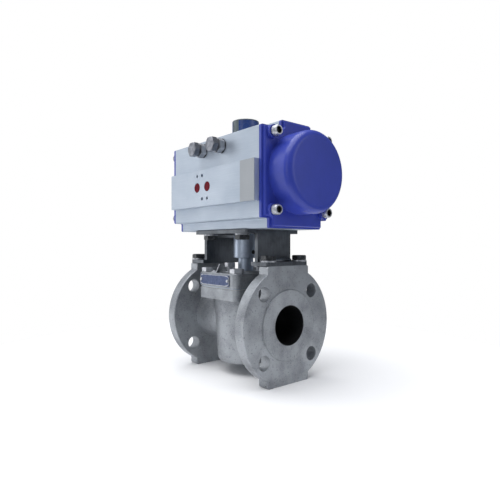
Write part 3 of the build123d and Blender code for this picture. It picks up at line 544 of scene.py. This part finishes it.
def cap_screws(node, way):
    """Socket-head screws of one end cap."""
    mesh = bmesh.new()
    for low, high in boxes_by_side(node, (1, 2)):
        seat = high.x - M8_SCREW_HEAD if way > 0 else low.x + M8_SCREW_HEAD
        length = (seat - low.x) if way > 0 else (high.x - seat)
        at = Vector((seat, (low.y + high.y) / 2, (low.z + high.z) / 2))
        place = upright(at, (way, 0, 0))
        rings = knurled_head((high.y - low.y) / 2, M8_SCREW_HEAD, M8_SOCKET)
        # The socket's faces take the near-black second material: painted shade in the recess.
        turned(mesh, place, rings, 192, dark_from=SOCKET_FROM)
        turned(mesh, place, thread(4 * MM, 1.25 * MM, -length, 0.0), 24)
    piece = finished(mesh, f"{node}_detailed", "bright_fastener", "valve_and_housing", look="cap_screw")
    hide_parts(node)
    return piece


def stop_bolts():
    """Travel-stop bolts: hex head, threaded shank and a plain dog point that meets the cam."""
    mesh = bmesh.new()
    for low, high in boxes_by_side("stop_bolts", (0,)):
        at = Vector(((low.x + high.x) / 2, low.y + STOP_HEAD, (low.z + high.z) / 2))
        place = upright(at, (0, -1, 0))
        length = high.y - at.y
        dog_top = -(length - STOP_DOG)
        turned(mesh, place, hex_head(STOP_ACROSS, STOP_HEAD), 48)
        turned(mesh, place, thread(6 * MM, 1.75 * MM, dog_top, 0.0), 32)
        turned(mesh, place, [circle(4.4 * MM, -length), circle(4.4 * MM, dog_top + 1 * MM)], 32)
    piece = finished(mesh, "stop_bolts_detailed", "bright_fastener", "valve_and_housing", look="stop_bolt")
    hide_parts("stop_bolts")
    return piece


def tag_border():
    """Raised bright rim of the blank tag."""
    low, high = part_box("name_tag")
    middle, half = (low + high) / 2, (high - low) / 2
    mesh = bmesh.new()
    rim, margin = 0.7 * MM, 0.25 * MM
    sunk, proud = low.y + 0.3 * MM, low.y - 0.25 * MM
    loops = []
    for inset, y in ((0.0, sunk), (0.0, proud), (rim, proud), (rim, sunk)):
        loop = []
        for index in range(64):
            angle = 2 * pi * (index + 0.5) / 64
            wide, tall = half.x - inset - margin, half.z - inset - margin
            reach = (abs(cos(angle) / wide) ** 14 + abs(sin(angle) / tall) ** 14) ** (-1 / 14)
            loop.append(mesh.verts.new((middle.x + reach * cos(angle), y, middle.z + reach * sin(angle))))
        loops.append(loop)
    for loop, following in zip(loops, loops[1:] + loops[:1]):
        for index in range(64):
            after = (index + 1) % 64
            mesh.faces.new((loop[index], loop[after], following[after], following[index]))
    return finished(mesh, "tag_border", "bright_fastener", "valve_and_housing")


def weld_bead(mesh, corner, way, half_length):
    """A rippled fillet weld along Y, filling the corner between a leg and its foot."""
    steps, across = 180, 8
    rows = []
    for index in range(steps + 1):
        y = -half_length + 2 * half_length * index / steps
        ripple = WELD_LEG + 0.30 * abs(sin(pi * y / WELD_RIPPLE)) + 0.10 * sin(y / (5.1 * MM))
        row = [mesh.verts.new((corner.x - way * 0.3 * MM, y, corner.z - 0.3 * MM))]
        for step in range(across + 1):
            angle = pi / 2 * step / across
            radius = ripple * MM
            x = corner.x + way * radius * cos(angle)
            row.append(mesh.verts.new((x, y, corner.z + radius * sin(angle))))
        rows.append(row)
    for row, following in zip(rows, rows[1:]):
        for step in range(len(row)):
            after = (step + 1) % len(row)
            mesh.faces.new((row[step], row[after], following[after], following[step]))
    mesh.faces.new(rows[0])
    mesh.faces.new(list(reversed(rows[-1])))


def welds():
    """The bracket's two outer fillet welds, with their ripples."""
    mesh = bmesh.new()
    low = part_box("bracket")[0]
    for way in (-1, 1):
        corner = Vector((STEM.x + way * BRACKET_LEG_X, STEM.y, low.z + FOOT_PLATE_TOP))
        weld_bead(mesh, corner, way, WELD_HALF_LENGTH)
    return finished(mesh, "weld_beads", "plate_steel", "valve_and_housing", crease=60)


# ---------------------------------------------------------------------- studio
def floor():
    mesh = bmesh.new()
    bmesh.ops.create_circle(mesh, cap_ends=True, segments=96, radius=1.3 * HEIGHT)
    data = bpy.data.meshes.new("floor")
    mesh.to_mesh(data)
    mesh.free()
    piece = bpy.data.objects.new("floor", data)
    piece.location = (STEM.x, STEM.y, LOW.z)
    bpy.context.scene.collection.objects.link(piece)
    look = Look("floor", (0.93, 0.93, 0.94), 0.9)
    look.tint(look.noise(0.3, 3), (0.90, 0.90, 0.91), 0.4)
    data.materials.append(look.material)


def area_light(name, away, size, power):
    """A soft light aimed at the middle of the object from a direction and distance."""
    target = Vector((STEM.x, STEM.y, (LOW.z + HIGH.z) / 2))
    data = bpy.data.lights.new(name, "AREA")
    data.shape = "RECTANGLE"
    data.size, data.size_y = size
    data.energy = power
    light = bpy.data.objects.new(name, data)
    light.location = target + Vector(away)
    light.rotation_euler = (-Vector(away)).to_track_quat("-Z", "Y").to_euler()
    bpy.context.scene.collection.objects.link(light)


def sun(name, away, angle, strength):
    data = bpy.data.lights.new(name, "SUN")
    data.angle = radians(angle)
    data.energy = strength
    light = bpy.data.objects.new(name, data)
    light.rotation_euler = (-Vector(away)).to_track_quat("-Z", "Y").to_euler()
    bpy.context.scene.collection.objects.link(light)


def world():
    """White behind the object, and a dimmer, cooler fill for its light."""
    surroundings = bpy.data.worlds.new("studio")
    surroundings.use_nodes = True
    bpy.context.scene.world = surroundings
    nodes, links = surroundings.node_tree.nodes, surroundings.node_tree.links
    path = nodes.new("ShaderNodeLightPath")
    fill = nodes["Background"]
    fill.inputs["Color"].default_value = (0.80, 0.88, 1.0, 1.0)
    fill.inputs["Strength"].default_value = 0.20
    seen = nodes.new("ShaderNodeBackground")
    seen.inputs["Color"].default_value = (1, 1, 1, 1)
    mix = nodes.new("ShaderNodeMixShader")
    links.new(path.outputs["Is Camera Ray"], mix.inputs["Fac"])
    links.new(fill.outputs["Background"], mix.inputs[1])
    links.new(seen.outputs["Background"], mix.inputs[2])
    links.new(mix.outputs["Shader"], nodes["World Output"].inputs["Surface"])


def camera():
    data = bpy.data.cameras.new("camera")
    data.lens = LENS
    data.sensor_width = 36.0
    data.shift_x, data.shift_y = SHIFT
    data.clip_start = 0.01
    eye = bpy.data.objects.new("camera", data)
    back = Vector((sin(VIEW_AZIMUTH), -cos(VIEW_AZIMUTH), 0))
    right = Vector((cos(VIEW_AZIMUTH), sin(VIEW_AZIMUTH), 0))
    stand = Vector((STEM.x, STEM.y, (LOW.z + HIGH.z) / 2))
    eye.location = stand + VIEW_DISTANCE * back + VIEW_ASIDE * right
    eye.rotation_euler = (radians(90), 0, VIEW_AZIMUTH)
    bpy.context.scene.collection.objects.link(eye)
    bpy.context.scene.camera = eye


dress_frame()
hex_bolts("top_cap_bolts", "bright_fastener", M10_ACROSS, M10_HEAD, 1)
hex_bolts("foot_bolts", "dark_fastener", M10_ACROSS, M10_HEAD, 1)
hex_bolts("mount_bolts", "dark_fastener", M10_ACROSS, M10_HEAD, -1)
cap_screws("right_cap_screws", 1)
cap_screws("left_cap_screws", -1)
stop_bolts()
tag_border()
welds()

floor()
world()
sun("overhead", (-0.15, -0.35, 1.6), 70, 3.3)
area_light("left_front", (-1.05, -0.85, 0.15), (0.7, 2.0), 7)
area_light("front", (0.35, -1.3, 0.25), (0.5, 0.9), 1.6)
area_light("right_back", (1.1, 0.45, 0.40), (0.7, 0.7), 2.0)
camera()
bpy.context.scene.view_settings.view_transform = "Standard"
